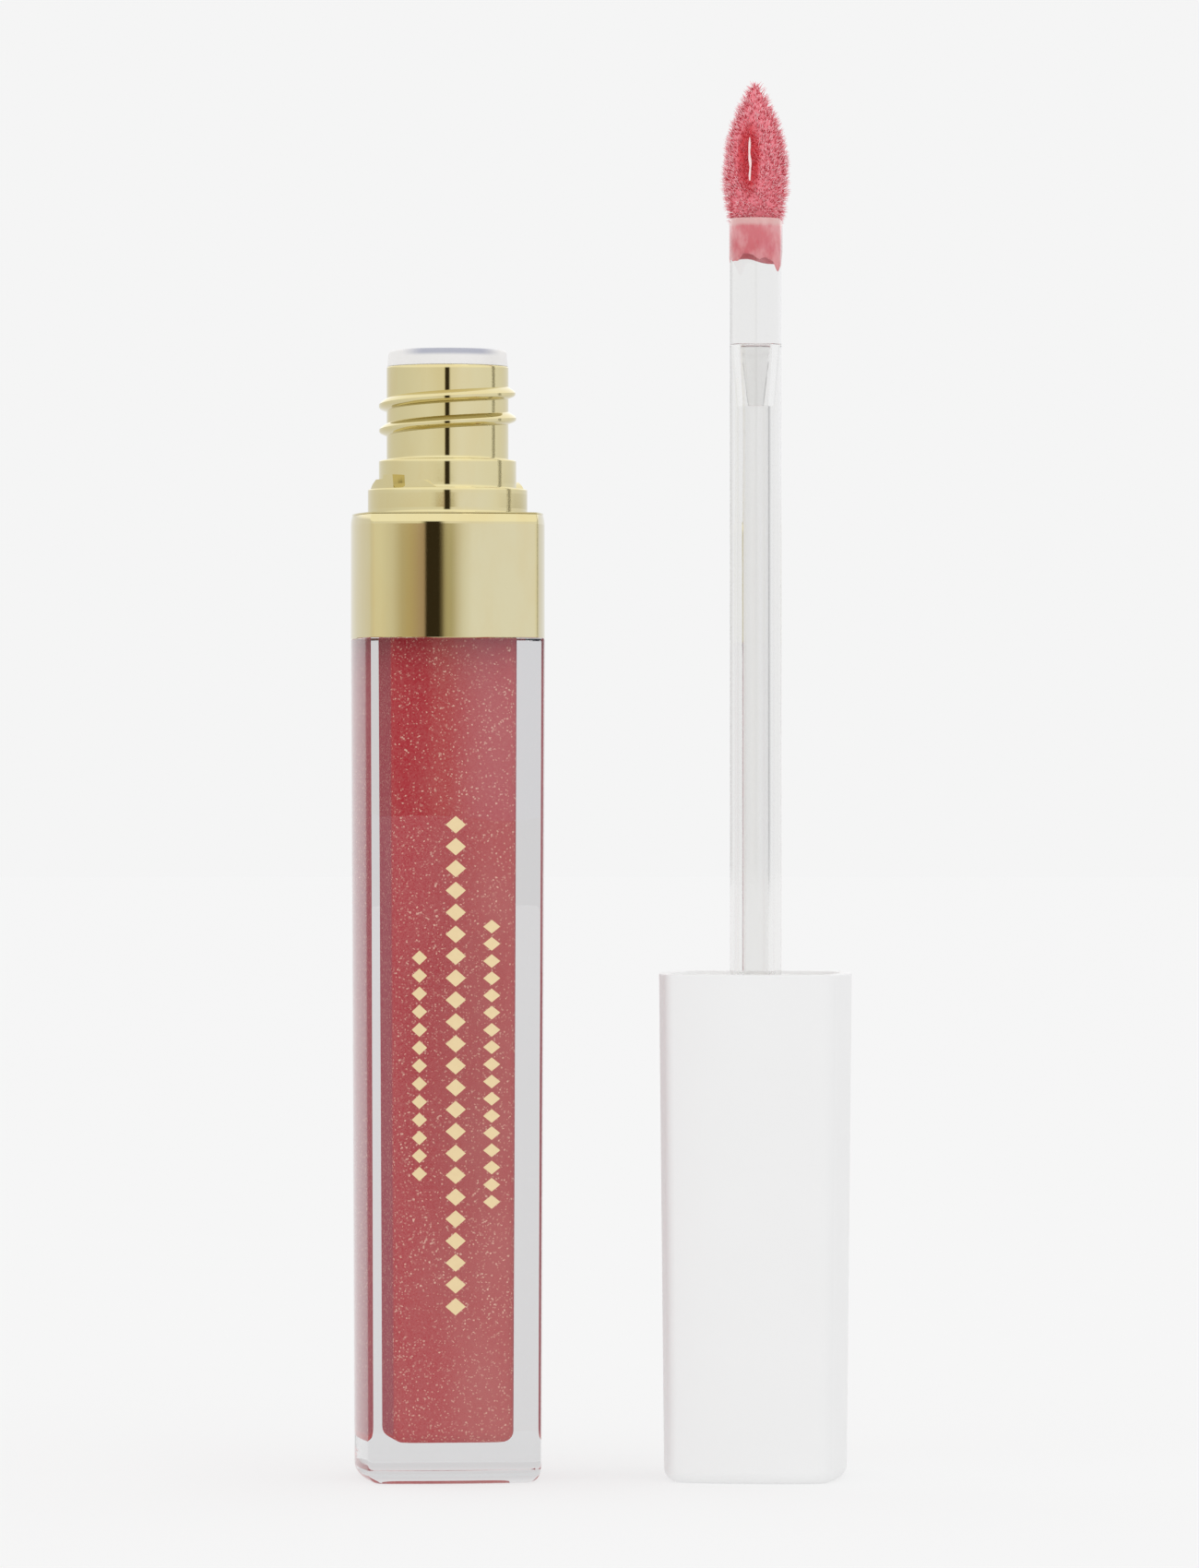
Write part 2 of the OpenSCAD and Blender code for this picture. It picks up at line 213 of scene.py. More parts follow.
dark = (0.045, 0.034, 0.02)
studio = {
    "background": 0.913,  # what the camera sees behind the tube
    # brightness of the room by azimuth seen from the object, in degrees from -Y towards +X
    "room": [(-180, 0.86), (-125, 0.86), (-95, 0.8), (-60, 1.02), (-30, 1.2), (30, 1.2), (60, 0.88),
             (95, 0.4), (125, 0.86), (180, 0.86)],
    "roomAbove": 0.98,
    "roomFade": (0.1, 0.5),  # sines of the heights between which the ring gives way to the room above
    # what shiny surfaces reflect: a warm dark strip in front, low down with grey beside it
    "mirror": [(-180, 0.9), (-90, (0.95, 0.93, 0.9)), (-60, (0.99, 0.94, 0.86)), (-30, (1.02, 1.0, 0.93)),
               (-24.4, (0.9, 0.87, 0.81)), (-20, (0.7, 0.63, 0.48)), (-15.9, (0.67, 0.565, 0.37)),
               (-10.3, (0.545, 0.413, 0.34)), (-9.4, (0.52, 0.4, 0.3)), (-9.0, dark), (-1.6, dark),
               (-1.2, (0.35, 0.3, 0.2)), (0.7, (0.62, 0.58, 0.43)), (3.3, (0.62, 0.59, 0.45)),
               (5.9, (0.85, 0.83, 0.82)), (8.8, (1.01, 1.03, 1.12)), (12.6, (1.11, 1.15, 1.35)),
               (40, (1.12, 1.16, 1.37)), (70, (1.1, 1.12, 1.2)), (110, 0.8), (180, 0.9)],
    # the same a little higher, where the round neck looks
    "mirrorHigh": [(-180, 0.9), (-90, 1.0), (-45, (1.08, 1.08, 1.1)), (-12, (1.05, 1.04, 1.0)),
                   (-10, (0.9, 0.85, 0.7)), (-9.6, dark), (-1.6, dark), (-1.2, (0.9, 0.88, 0.8)),
                   (2, (1.1, 1.1, 1.15)), (20, (1.15, 1.17, 1.3)), (90, (1.1, 1.12, 1.2)), (180, 0.9)],
    "mirrorHighFade": (0.033, 0.041),
    "mirrorAbove": 1.35,
    "mirrorAboveFade": (0.1, 0.16),
    "softbox": {"size": 0.3, "power": 0.12, "spot": (0.2, -0.45, 0.5)},
    "floor": {"radius": 4, "colour": (0.33, 0.33, 0.33), "darker": (0.3, 0.3, 0.3), "grain": 60.0,
              "glow": 0.6},
}

world = bpy.data.worlds.new("studio")
bpy.context.scene.world = world
room = Look("studio", world)
direction = room.node("TexCoord", output="Generated")
dirX, dirY, dirZ = room.split(direction)
compass = room.maths("ARCTAN2", dirX, -dirY) / (2 * pi) + 0.5


def ringOf(stops):
    return room.node("ValToRGB", {"stops": [(a / 360 + 0.5, value) for a, value in stops]}, {0: compass})


# Only rays mirrored off the outside of a piece see the mirror rings; those sent on through it see the room
plain = room.mix(room.smooth(dirZ, *studio["roomFade"]), ringOf(studio["room"]), (studio["roomAbove"],) * 3)
mirror = room.mix(room.smooth(dirZ, *studio["mirrorHighFade"]), ringOf(studio["mirror"]),
                  ringOf(studio["mirrorHigh"]))
mirror = room.mix(room.smooth(dirZ, *studio["mirrorAboveFade"]), mirror, (studio["mirrorAbove"],) * 3)
seen = room.node("LightPath", output="Is Camera Ray")
glossy = Wire(room, seen.socket.node.outputs["Is Glossy Ray"])
through = Wire(room, seen.socket.node.outputs["Is Transmission Ray"])
reflected = room.maths("SUBTRACT", glossy, through, clamp=True)
lit = room.mix(seen, room.mix(reflected, plain, mirror), (studio["background"],) * 3)
room.finish("OutputWorld", room.node("Background", {}, {"Color": lit}))

softbox = studio["softbox"]
lampData = bpy.data.lights.new("softbox", "AREA")
lampData.size = softbox["size"]
lampData.energy = softbox["power"]
lamp = bpy.data.objects.new("softbox", lampData)
lamp.location = softbox["spot"]
lamp.rotation_euler = (target - Vector(softbox["spot"])).to_track_quat("-Z", "Y").to_euler()
bpy.context.scene.collection.objects.link(lamp)

ground = studio["floor"]
floorMesh = bpy.data.meshes.new("floor")
floorBm = bmesh.new()
bmesh.ops.create_circle(floorBm, cap_ends=True, radius=ground["radius"], segments=96)
floorBm.to_mesh(floorMesh)
floorBm.free()
floor = bpy.data.objects.new("floor", floorMesh)
bpy.context.scene.collection.objects.link(floor)
floorLook = Look("floor")
floorGrain = floorLook.noise(floorLook.node("TexCoord", output="Object"), ground["grain"], 2.0)
floorMesh.materials.append(floorLook.surface(floorLook.principled(
    Base_Color=floorLook.mix(floorGrain * 0.1, ground["colour"], ground["darker"]), Roughness=0.9,
    Specular_IOR_Level=0.0, Emission_Color=(1.0, 1.0, 1.0), Emission_Strength=ground["glow"])))
print("studio lit")


# Mesh helpers: shapes are made in millimetres round the Z axis, and piece() puts each in its place
weld = 0.0005  # vertices nearer to each other than this become one


def edgesOf(verts):
    return list({edge for vert in verts for edge in vert.link_edges})


def circle(bm, radius, z, segments=128):
    made = bmesh.ops.create_circle(bm, cap_ends=False, radius=radius, segments=segments,
                                   matrix=Matrix.Translation((0, 0, z)))
    return edgesOf(made["verts"])


def outline(bm, width, z, bow, corner, sideSteps=24, cornerSteps=8):
    # a square whose sides bow outwards, with round corners
    lean = acos((bow - width / 2) / (bow - corner) / sqrt(2)) - pi / 4
    cornerAt = (bow - corner) * sin(lean)
    start = Vector((width / 2 - bow + bow * cos(lean), -bow * sin(lean), z))
    last = first = bm.verts.new(start)
    verts = [first]
    for quarter in range(4):
        turned = Matrix.Rotation(quarter * pi / 2, 3, "Z")
        arcs = [(Vector((width / 2 - bow, 0, z)), 2 * lean, sideSteps),
                (Vector((cornerAt, cornerAt, z)), pi / 2 - 2 * lean, cornerSteps)]
        for centre, angle, steps in arcs:
            for _ in range(steps):
                made = bmesh.ops.spin(bm, geom=[last], cent=turned @ centre, axis=(0, 0, 1), dvec=(0, 0, 0),
                                      angle=angle / steps, steps=1, use_merge=False)
                last = made["geom_last"][0]
                verts.append(last)
    bmesh.ops.pointmerge(bm, verts=[first, last], merge_co=start)
    return edgesOf([vert for vert in verts if vert.is_valid])


def loop(bm, points):
    verts = [bm.verts.new(point) for point in points]
    return [bm.edges.new((verts[i - 1], verts[i])) for i in range(len(verts))]


def skin(bm, loops, closeStart=True, closeEnd=True):
    for below, above in zip(loops, loops[1:]):
        bmesh.ops.bridge_loops(bm, edges=below + above)
    if closeStart:
        bmesh.ops.contextual_create(bm, geom=loops[0])
    if closeEnd:
        bmesh.ops.contextual_create(bm, geom=loops[-1])


def rounded(points, radius, steps=4, margin=0.03):
    # a profile with each inner corner eased by an arc, which takes less than half of a short neighbour
    most = 0.45
    out = [Vector(points[0])]
    for before, here, after in zip(points, points[1:], points[2:]):
        before, here, after = Vector(before), Vector(here), Vector(after)
        back, on = before - here, after - here
        reach = min(radius, back.length * most, on.length * most)
        start, end = here + back.normalized() * reach, here + on.normalized() * reach
        for i in range(steps + 1):
            t = i / steps
            out.append(start * (1 - t) ** 2 + here * 2 * t * (1 - t) + end * t ** 2)
    return held(out + [Vector(points[-1])], margin)


def held(points, margin=0.03, longest=0.5):
    # keeps long straight stretches straight in the shading, by a point close to each of their ends
    out = []
    for here, after in zip(points, points[1:]):
        here, after = Vector(here), Vector(after)
        out.append(here)
        if (after - here).length > longest:
            step = (after - here).normalized() * margin
            out += [here + step, after - step]
    return out + [Vector(points[-1])]


def lathe(bm, profile, segments=96, closed=False):
    # turns a profile of (radius, height) round the axis; its ends lie on the axis unless it is closed
    verts = [bm.verts.new((point[0], 0, point[1])) for point in profile]
    edges = [bm.edges.new(pair) for pair in zip(verts, verts[1:])]
    if closed:
        edges.append(bm.edges.new((verts[-1], verts[0])))
    bmesh.ops.spin(bm, geom=verts + edges, cent=(0, 0, 0), axis=(0, 0, 1), dvec=(0, 0, 0), angle=2 * pi,
                   steps=segments, use_merge=True)


def ridge(bm, rootRadius, height, profile, stations):
    # a band laid round the axis: each station gives an angle, a lift and how far the band stands out
    loops = []
    for angle, lift, full in stations:
        points = []
        for out, up in profile:
            radius = rootRadius + height * (out * full if out > 0 else out)
            points.append((radius * cos(angle), radius * sin(angle), up + lift))
        loops.append(loop(bm, points))
    skin(bm, loops)


def piece(name, bm, place, body, look, replaces=(), sharp=32):
    bmesh.ops.remove_doubles(bm, verts=bm.verts, dist=weld)
    bmesh.ops.recalc_face_normals(bm, faces=bm.faces)
    bmesh.ops.transform(bm, matrix=Matrix.Scale(mm, 4) @ place, verts=bm.verts)
    mesh = bpy.data.meshes.new(name)
    bm.to_mesh(mesh)
    bm.free()
    for polygon in mesh.polygons:
        polygon.use_smooth = True
    mesh.set_sharp_from_angle(angle=radians(sharp))
    mesh.materials.append(look)
    made = bpy.data.objects.new(name, mesh)
    bpy.context.scene.collection.objects.link(made)
    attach(made, body)
    if replaces:
        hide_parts(*replaces)
    print("made", name, len(mesh.polygons), "faces")


# Clear bottle: bows are radii of the square's sides, and the dent under the base is (radius, height)
bottle = {"draft": 0.55, "bow": 40, "corner": 0.6, "baseEdge": 1.1, "shoulderHigh": 0.06, "shoulderIn": 0.12,
          "wall": 2.65, "cavityCorner": 0.8, "cavityDraft": 0.55, "floorFillet": 0.9, "spigotWall": 0.85,
          "straight": 400, "pressGap": 0.02, "lapGloss": 0.012,
          "dent": [(0.5, 0.36), (2.4, 0.3), (4.4, 0.1), (5.2, 0)], "tint": (0.745, 0.745, 0.752), "ior": 1.49}

bodyWidth = 2 * bottleHigh.x
shoulderZ = collarLow.z
spigotTop = bottleHigh.z
cavityWidth = bodyWidth - 2 * bottle["wall"]
spigotWidth = cavityWidth + 2 * bottle["spigotWall"]
spigotCorner = bottle["cavityCorner"] + bottle["spigotWall"]
floorZ = glossLow.z - bottle["pressGap"]


def arcSteps(count):
    # shares of a quarter round: how far along it is sideways and up
    return [(1 - sin(pi / 2 * i / count), 1 - cos(pi / 2 * i / count)) for i in range(count + 1)]


def cavityLevels(top, grow):
    # widths and heights up the inside of the bottle
    fillet = bottle["floorFillet"]
    floorWidth = cavityWidth - bottle["cavityDraft"] + 2 * grow
    levels = [(floorWidth - 2 * fillet * side, floorZ - grow + fillet * up) for side, up in arcSteps(6)]
    rise = (top - floorZ) / (spigotTop - floorZ)
    return levels + [(floorWidth + bottle["cavityDraft"] * rise, top)]


def makeBottle():
    bm = bmesh.new()
    edge = bottle["baseEdge"]
    lowWidth = bodyWidth - bottle["draft"]
    levels = [(lowWidth - 2 * edge * side, edge * up) for side, up in arcSteps(8)]
    levels += [(bodyWidth, shoulderZ - bottle["shoulderHigh"]), (bodyWidth - bottle["shoulderIn"], shoulderZ)]
    loops = [circle(bm, radius, z) for radius, z in bottle["dent"]]
    loops += [outline(bm, width, z, bottle["bow"], bottle["corner"]) for width, z in held(levels)]
    straight = bottle["straight"]
    for width, z in [(spigotWidth, shoulderZ), (spigotWidth, spigotTop)]:
        loops.append(outline(bm, width, z, straight, spigotCorner))
    for width, z in held(cavityLevels(spigotTop, 0))[::-1]:
        loops.append(outline(bm, width, z, straight, bottle["cavityCorner"]))
    skin(bm, loops)
    look = Look("clearBottle")
    spot = look.place()
    ripple = look.noise(look.stretched(spot, (0.12, 0.12, 0.03)), 1.0, 1.0)
    clear = look.principled(Base_Color=bottle["tint"], Roughness=0.0, IOR=bottle["ior"],
                            Transmission_Weight=1.0, Normal=look.bump(ripple, 0.25, 0.00005))
    finish = look.surface(look.lampsPass(clear, bottle["tint"]))
    piece("bottle_shell", bm, atTube, "tube", finish, ["bottle"])


def makeGloss():
    # fills the reservoir and laps a hair into its wall, as a liquid that wets it does
    bm = bmesh.new()
    loops = []
    for width, z in held(cavityLevels(glossHigh.z, bottle["lapGloss"])):
        loops.append(outline(bm, width, z, bottle["straight"], bottle["cavityCorner"]))
    skin(bm, loops)
    piece("gloss", bm, atTube, "tube", glossLook(), ["gloss_fill"])


# Gloss: lighter low down; painted light makes it lighter to the right, where the light comes from, and
# painted shade darkens it over the corners of the reservoir
gloss = {"deep": (0.53, 0.038, 0.054), "light": (0.6, 0.16, 0.155), "fleckGlint": (1.0, 0.68, 0.53),
         "side": (0.3, 0.1, 0.14), "cornerShadeFrom": (4.5, 4.66), "cornerShadeWiden": 0.0038, "paintedLightAcross": 3.5,
         "lighterDown": (60.0, 10.0), "fleckSize": 0.11, "fleckShare": 0.15, "roughness": 0.45}


def glossLook():
    # pink and full of fine pearl: cells of random brightness, a few of which are pale flecks brightened as
    # painted glints
    look = Look("gloss")
    spot = look.place()
    x, _, z = look.split(spot)
    cloud = look.noise(look.stretched(spot, (0.25, 0.25, 0.12)), 1.0, 2.0)
    # painted light: lighter towards the right, as if lit from that side
    across = look.smooth(x, -gloss["paintedLightAcross"], gloss["paintedLightAcross"])
    share = across * 0.55 + (cloud - 0.5) * 0.9 + look.smooth(z, *gloss["lighterDown"]) * 0.25
    share = look.maths("MINIMUM", look.maths("MAXIMUM", share, 0.0), 1.0)
    base = look.mix(share, gloss["deep"], gloss["light"])
    # painted shade: the side colour darkens the gloss over the reservoir's corners, widening upwards
    edge = look.maths("ABSOLUTE", x) - z * gloss["cornerShadeWiden"]
    side = look.smooth(edge, *gloss["cornerShadeFrom"]) * 0.5
    cells = look.node("TexVoronoi", {}, {"Vector": spot, "Scale": 1 / gloss["fleckSize"]}, output="Color")
    chance = look.node("SeparateColor", {}, {0: cells}, output=0)
    glint = look.node("SeparateColor", {}, {0: cells}, output=1)
    gather = look.noise(spot, 0.35, 2.0)
    # pale pearl flecks, whose brightness is partly a painted glint
    fleckGlint = look.smooth(chance + (gather - 0.5) * 0.12, 1 - gloss["fleckShare"], 1.0)
    pearl = look.mix(side, look.mix(glint * 0.5, base, gloss["light"]), gloss["side"])
    return look.surface(look.principled(
        Base_Color=look.mix(fleckGlint * (0.15 + glint * 0.75), pearl, gloss["fleckGlint"]),
        Roughness=gloss["roughness"] - fleckGlint * 0.15, Metallic=fleckGlint * 0.25, Specular_IOR_Level=0.0))


# Gold collar: a square skirt that leans in at its top, then two round steps and the threaded neck
gold = {"skirt": 9.9, "proud": 0.07, "bow": 20, "footEdge": 0.05, "topLean": 0.1, "topLeanFrom": 0.9,
        "edge": 0.14, "stepEdge": 0.12, "colour": (0.61, 0.54, 0.3), "deepColour": (0.6, 0.5, 0.25),
        "roughness": 0.02}
neck = {"lowerStepTop": 2.0, "upperStepTop": 4.3, "lowerStepR": 6.35, "upperStepR": 5.47, "neckR": 4.85,
        "boreR": 3.9, "threadLeadIn": 2.2, "threadFrom": 150, "threadTurn": 585, "pitch": 2.0,
        "threadHeight": 0.62,
        "threadShape": [(-0.3, -0.5), (0.8, -0.24), (1, -0.1), (1, 0.1), (0.8, 0.26), (-0.3, 0.68)],
        # the ramps that the cap's lug clicks over, as (angle, height), made on both sides
        "ramps": [[(-172, 0.02), (-167, 0.35), (-160, 0.7), (-150, 0.72), (-149, 1.05), (-139, 1.05),
                   (-138, 0.02)],
                  [(-129, 0.02), (-125, 0.25), (-120, 0.6), (-113, 0.6), (-108, 0.3), (-104, 0.02)]],
        "rampSunk": 0.15}


def goldLook():
    look = Look("champagneGold")
    spot = look.place()
    smear = look.noise(look.stretched(spot, (1.0, 1.0, 0.35)), 0.5, 3.0)
    scratch = look.noise(look.stretched(spot, (6.0, 6.0, 0.8)), 4.0, 2.0)
    return look.surface(look.principled(
        Base_Color=look.mix(look.smooth(smear, 0.35, 0.75) * 0.5, gold["colour"], gold["deepColour"]),
        Metallic=1.0, Roughness=gold["roughness"] + smear * 0.02, Normal=look.bump(scratch, 0.03, 0.00001)))


def thread(bm, rootRadius, height, profile, turn, pitch, startZ, startAngle, step=6, fade=30):
    # a helical ridge that rises out of its root and sinks back over the fade, all angles in degrees
    rings = int(turn / step) + 1
    stations = []
    for i in range(rings):
        along = turn * i / (rings - 1)
        full = min(1, along / fade, (turn - along) / fade)
        stations.append((radians(startAngle + along), startZ + pitch * along / 360, max(full, 0.02)))
    ridge(bm, rootRadius, height, profile, stations)


def clickStops(bm, ledgeZ, innerR, outerR):
    sunk = -neck["rampSunk"]
    for side in (0, 180):
        for ramp in neck["ramps"]:
            loops = []
            for angle, height in ramp:
                a = radians(angle + side)
                ring = [(innerR, sunk), (outerR, sunk), (outerR, height), (innerR, height)]
                loops.append(loop(bm, [(r * cos(a), r * sin(a), ledgeZ + up) for r, up in ring]))
            skin(bm, loops)


def makeCollar():
    bm = bmesh.new()
    width = bodyWidth + 2 * gold["proud"]
    top = shoulderZ + gold["skirt"]
    edge, foot = gold["edge"], gold["footEdge"]
    leanFrom = top - gold["topLeanFrom"]
    leanHigh = gold["topLeanFrom"] - edge
    levels = [(width - 2 * foot, shoulderZ), (width, shoulderZ + foot), (width, leanFrom)]
    for i in range(1, 6):
        share = i / 5
        levels.append((width - 2 * gold["topLean"] * share ** 2, leanFrom + leanHigh * share))
    topWidth = levels[-1][0]
    levels += [(topWidth - 2 * edge * side, top - edge * (1 - up)) for up, side in reversed(arcSteps(4))]
    loops = [outline(bm, w, z, gold["bow"], bottle["corner"]) for w, z in held(levels)]
    lowerTop, neckFoot, neckTop = top + neck["lowerStepTop"], top + neck["upperStepTop"], collarHigh.z
    lowerR, upperR, neckR, boreR = neck["lowerStepR"], neck["upperStepR"], neck["neckR"], neck["boreR"]
    socketTop = spigotTop + bottle["pressGap"]
    profile = [(lowerR + 0.5, top), (lowerR, top), (lowerR, lowerTop), (upperR, lowerTop), (upperR, neckFoot),
               (neckR, neckFoot), (neckR, neckTop), (boreR, neckTop), (boreR, socketTop)]
    loops += [circle(bm, r, z) for r, z in rounded(profile, gold["stepEdge"], margin=0.3)]
    socketWidth = spigotWidth + 2 * bottle["pressGap"]
    for z in (socketTop, shoulderZ):
        loops.append(outline(bm, socketWidth, z, bottle["straight"], spigotCorner))
    skin(bm, loops + [loops[0]], closeStart=False, closeEnd=False)
    thread(bm, neckR, neck["threadHeight"], neck["threadShape"], neck["threadTurn"], neck["pitch"],
           neckFoot + neck["threadLeadIn"], neck["threadFrom"])
    clickStops(bm, lowerTop, upperR - 0.2, lowerR - 0.1)
    piece("collar", bm, atTube, "tube", goldLook(), ["collar_neck"])


# Wiper: a soft sleeve in the neck with a narrow lip at its foot and a flange lying on the neck's end
wiper = {"lipR": 1.95, "holeR": 3.28, "sleeveR": 3.88, "flangeR": 4.73, "funnel": 2.4, "dish": 0.45,
         # rim is the colour of the painted shade round the flange's middle
         "milk": (0.77, 0.755, 0.735), "paleMilk": (0.84, 0.825, 0.81), "rim": (0.36, 0.375, 0.46),
         "roughness": 0.25, "ior": 1.5}


def makeWiper():
    bm = bmesh.new()
    base, seat, top = wiperLow.z, collarHigh.z, wiperHigh.z
    hole, sleeve, flange, lip = wiper["holeR"], wiper["sleeveR"], wiper["flangeR"], wiper["lipR"]
    funnelTop = base + wiper["funnel"]
    corners = [(hole, funnelTop + 1), (hole, funnelTop), (lip, base + 0.35), (lip, base), (lip + 0.35, base),
               (sleeve - 0.5, funnelTop - 0.9), (sleeve, funnelTop - 0.4), (sleeve, seat),
               (flange + 0.07, seat), (flange - 0.05, top - 0.15), (flange - 0.2, top), (hole + 0.75, top),
               (hole, top - wiper["dish"])]
    lathe(bm, rounded(corners, 0.07, 3), closed=True)
    look = Look("wiperPlastic")
    spot = look.place()
    cloud = look.noise(spot, 0.6, 3.0)
    x, _, z = look.split(spot)
    # painted shade: the flange darker and bluer round its middle, where the hole's shade shows through it
    holeShade = look.smooth(z, top - 0.62, top - 0.3) * look.smooth(look.maths("ABSOLUTE", x), 4.1, 2.2)
    body = look.mix(cloud, wiper["milk"], wiper["paleMilk"])
    finish = look.surface(look.principled(
        Base_Color=look.mix(holeShade * 0.85, body, wiper["rim"]), Roughness=wiper["roughness"] + cloud * 0.1,
        IOR=wiper["ior"]))
    piece("wiper_insert", bm, atTube, "tube", finish, ["wiper"])


# Foil ornament: three upright rows of lozenges on the bowed front
foil = {"proud": 0.02, "sunk": 0.02, "width": 1.6, "height": 0.4,
        "middle": 0.555,  # share of the bottle's height that the rows are measured from
        # x, lowest and highest place from the middle, share of the full width, number of lozenges
        "rows": [(-2.85, -13.2, 5.2, 0.75, 13), (0, -23.8, 15.8, 1, 23), (2.85, -15.4, 7.6, 0.85, 17)],
        "colour": (0.84, 0.68, 0.4), "worn": (0.78, 0.6, 0.34), "metal": 0.5, "roughness": 0.32}


def makeFoil():
    bm = bmesh.new()
    radius = bottle["bow"]

    def front(x, z):
        # the bottle's front face at that place
        lift = max(0, z - bottle["baseEdge"]) / (shoulderZ - bottle["baseEdge"]) - 1
        half = bodyWidth / 2 + bottle["draft"] / 2 * lift
        return -(half - radius + sqrt(radius ** 2 - x ** 2))

    for x, low, high, share, count in foil["rows"]:
        pitch = (high - low) / count
        wide, tall = share * foil["width"] / 2, foil["height"] * pitch
        for i in range(count):
            z = foil["middle"] * shoulderZ + low + pitch * (i + 0.5)
            rim = [(x - wide, z), (x - wide / 2, z - tall / 2), (x, z - tall), (x + wide / 2, z - tall / 2),
                   (x + wide, z), (x + wide / 2, z + tall / 2), (x, z + tall), (x - wide / 2, z + tall / 2)]
            skin(bm, [loop(bm, [(u, front(u, v) - out, v) for u, v in rim])
                      for out in (-foil["sunk"], foil["proud"])])
    look = Look("paleGoldFoil")
    wear = look.noise(look.place(), 2.2, 4.0)
    finish = look.surface(look.principled(
        Base_Color=look.mix(wear, foil["colour"], foil["worn"]), Metallic=foil["metal"],
        Roughness=foil["roughness"] + wear * 0.12, Normal=look.bump(wear, 0.15, 0.00002)))
    piece("foil_marks", bm, atTube, "tube", finish, ["foil_print"])


# Cap, standing on its closed end, and the liner pressed into it, whose socket holds the stem
# the glow settings paint light onto the cap's inner sides
cap = {"draft": 0.8, "bow": 24, "corner": 1.3, "wall": 1.0, "floor": 1.4, "endEdge": 0.9, "rim": 0.12,
       "ribThick": 0.8, "colour": (0.87, 0.87, 0.87), "roughness": 0.42, "glow": (0.28, 0.28, 0.28),
       "glowRadius": (6.95, 6.75), "glowFrom": (3.0, 6.0), "glowTo": (39.95, 39.5)}
liner = {"holeR": 5.62, "outerR": 6.27, "floorThick": 1.2, "socketWall": 1.1, "socketDepth": 6.97,
         "ceiling": 27.01, "slack": 0.03, "threadHeight": 0.46, "threadFrom": 40, "threadTurn": 450,
         "threadShape": [(-0.4, -0.5), (0.9, -0.2), (1, 0), (0.9, 0.2), (-0.4, 0.5)],
         "colour": (0.82, 0.82, 0.8), "roughness": 0.35}


def satinLook(name, colour, roughness):
    # white plastic with painted light: its inner sides glow, standing in for light let through its thin walls
    look = Look(name)
    spot = look.place()
    grain = look.noise(spot, 5.0, 3.0)
    cloud = look.noise(spot, 0.12, 2.0)
    darker = tuple(channel * 0.975 for channel in colour)
    x, y, z = look.split(spot)
    fromAxis = ((x - applicatorX) ** 2 + (y - applicatorY) ** 2) ** 0.5
    # painted light: the mask of the glowing inner sides
    innerGlow = (look.smooth(fromAxis, *cap["glowRadius"]) * look.smooth(z, *cap["glowFrom"])
              * look.smooth(z, *cap["glowTo"]))
    return look.surface(look.principled(
        Base_Color=look.mix(cloud, colour, darker), Roughness=roughness + (grain - 0.5) * 0.12, IOR=1.48,
        Specular_IOR_Level=0.4, Normal=look.bump(grain, 0.12, 0.00002),
        Emission_Color=look.mix(innerGlow, (0.0, 0.0, 0.0), cap["glow"]), Emission_Strength=1.0))


def makeCap():
    bm = bmesh.new()
    height = capHigh.z
    lowWidth = bodyWidth - cap["draft"]
    edge, rim, wall = cap["endEdge"], cap["rim"], cap["wall"]
    levels = [(lowWidth - 2 * edge * side, edge * up) for side, up in arcSteps(8)]
    levels += [(bodyWidth - 2 * rim * side, height - rim * up) for side, up in [(0, 1), (0.3, 0.3), (1, 0)]]
    loops = [outline(bm, w, z, cap["bow"], cap["corner"]) for w, z in held(levels)]
    mouth, foot, inFloor = bodyWidth - 2 * wall, lowWidth - 2 * wall, cap["floor"]
    inner = [(mouth + 2 * rim, height), (mouth + 0.6 * rim, height - 0.3 * rim), (mouth, height - rim),
             (foot, inFloor + 0.4), (foot - 0.25, inFloor + 0.1), (foot - 0.8, inFloor)]
    loops += [outline(bm, w, z, cap["bow"] - wall, cap["corner"]) for w, z in inner]
    skin(bm, loops)
    # a rib in each corner carries the liner; it runs a little into the floor and the corner
    ribTop = liner["ceiling"] - liner["floorThick"]
    ribBase = inFloor - 0.2
    ribIn, ribOut = liner["outerR"] - 1.6, foot / 2 * 1.22
    for quarter in range(4):
        shape = (Matrix.Rotation(pi / 4 + quarter * pi / 2, 4, "Z")
                 @ Matrix.Translation(((ribIn + ribOut) / 2, 0, (ribBase + ribTop) / 2))
                 @ Matrix.Diagonal((ribOut - ribIn, cap["ribThick"], ribTop - ribBase, 1)))
        bmesh.ops.create_cube(bm, size=1, matrix=shape)
    finish = satinLook("capWhite", cap["colour"], cap["roughness"])
    piece("cap", bm, atApplicator, "cap_body", finish, ["outer_cap"])


def makeLiner():
    bm = bmesh.new()
    ceiling, rim, foot = liner["ceiling"], linerHigh.z, linerLow.z
    seat = ceiling - liner["floorThick"]
    hole, outer = liner["holeR"], liner["outerR"]
    socketR, socketFoot = stemR + liner["slack"], ceiling - liner["socketDepth"]
    post = stemR + liner["socketWall"]
    corners = [(0, foot), (post, foot), (post, seat), (outer, seat), (outer, rim), (hole, rim),
               (hole, ceiling), (socketR, ceiling), (socketR, socketFoot), (0, socketFoot)]
    lathe(bm, rounded(corners, 0.15, 3))
    thread(bm, hole, -liner["threadHeight"], liner["threadShape"], liner["threadTurn"], neck["pitch"],
           ceiling + 3, liner["threadFrom"])
    finish = satinLook("linerWhite", liner["colour"], liner["roughness"])
    piece("cap_liner", bm, atApplicator, "cap_body", finish, ["inner_cap"])


